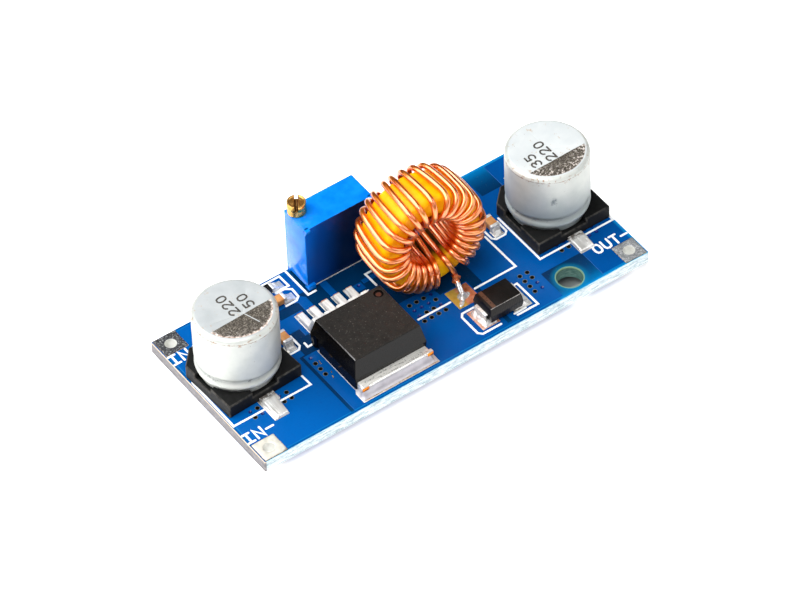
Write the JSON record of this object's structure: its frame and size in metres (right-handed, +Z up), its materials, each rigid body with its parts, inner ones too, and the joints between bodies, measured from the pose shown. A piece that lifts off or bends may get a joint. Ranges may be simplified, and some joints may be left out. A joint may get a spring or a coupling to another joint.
{
  "type": "step-down converter module",
  "caption": "Rectangular blue circuit board with can capacitors, a wound toroid inductor, a regulator, a diode and a screw-adjusted trimmer, for stepping down a direct voltage.",
  "frame": {"origin": "centre of the board's outline, on the surface that the clipped pins stand on", "axes": "+X along the board from the input end to the output end, +Y across it to the trimmer's edge, +Z up, out of the populated face"},
  "size_m": [0.054, 0.023, 0.0175],
  "materials": {
    "board": "glossy blue solder mask on glass-fibre laminate",
    "plated_copper": "tinned copper",
    "can_aluminium": "satin",
    "base_plastic": "matt moulded",
    "bung_rubber": "matt",
    "foil_roll": "paper and foil",
    "tinned_metal": "bright tin plate",
    "mould_compound": "fine grain epoxy",
    "silicon": "polished",
    "bond_metal": "drawn wire",
    "core_coating": "yellow coating on pressed iron powder",
    "copper_wire": "enamelled copper",
    "trimmer_plastic": "moulded blue",
    "brass": "turned",
    "seal_rubber": "matt",
    "rotor_plastic": "moulded",
    "ceramic": "fired",
    "resin": "cast",
    "resistor_black": "glazed",
    "chip_ends": "tin plate",
    "chip_ceramic": "fired",
    "solder": "bright solder"
  },
  "bodies": {
    "module": {"circuit_board": "board", "wire_pads": "plated_copper", "component_lands": "plated_copper", "input_capacitor_can": "can_aluminium", "input_capacitor_base": "base_plastic", "input_capacitor_bung": "bung_rubber", "input_capacitor_roll": "foil_roll", "input_capacitor_terminals": "tinned_metal", "output_capacitor_can": "can_aluminium", "output_capacitor_base": "base_plastic", "output_capacitor_bung": "bung_rubber", "output_capacitor_roll": "foil_roll", "output_capacitor_terminals": "tinned_metal", "regulator_case": "mould_compound", "regulator_tab": "tinned_metal", "regulator_leads": "tinned_metal", "regulator_die": "silicon", "regulator_bond_wires": "bond_metal", "diode_case": "mould_compound", "diode_terminals": "tinned_metal", "diode_die": "silicon", "inductor_core": "core_coating", "inductor_winding": "copper_wire", "trimmer_housing": "trimmer_plastic", "trimmer_element": "ceramic", "trimmer_pins": "tinned_metal", "trimmer_seal": "resin", "resistor_body": "resistor_black", "resistor_ends": "chip_ends", "input_chip_capacitor_body": "chip_ceramic", "input_chip_capacitor_ends": "chip_ends", "bypass_chip_capacitor_body": "chip_ceramic", "bypass_chip_capacitor_ends": "chip_ends", "output_chip_capacitor_body": "chip_ceramic", "output_chip_capacitor_ends": "chip_ends", "regulator_solder": "solder", "capacitor_solder": "solder", "diode_solder": "solder", "chip_solder": "solder", "inductor_solder": "solder", "trimmer_solder": "solder"},
    "adjusting_screw": {"trimmer_screw": "brass", "trimmer_o_ring": "seal_rubber"},
    "wiper_rotor": {"trimmer_rotor": "rotor_plastic", "trimmer_wiper": "brass"}
  },
  "joints": [
    {"name": "screw_turn", "type": "hinge", "parent": "module", "child": "adjusting_screw", "pos_m": [-0.0069, 0.01042, 0.01], "axis": [0, 0, 1], "range_deg": [-4500, 4500]},
    {"name": "wiper_turn", "type": "hinge", "parent": "module", "child": "wiper_rotor", "pos_m": [-0.00302, 0.01042, 0.00785], "axis": [0, -1, 0], "range_deg": [-141, 141]}
  ],
  "couplings": [
    {"joint": "wiper_turn", "follows": "screw_turn", "ratio": 0.03125}
  ]
}
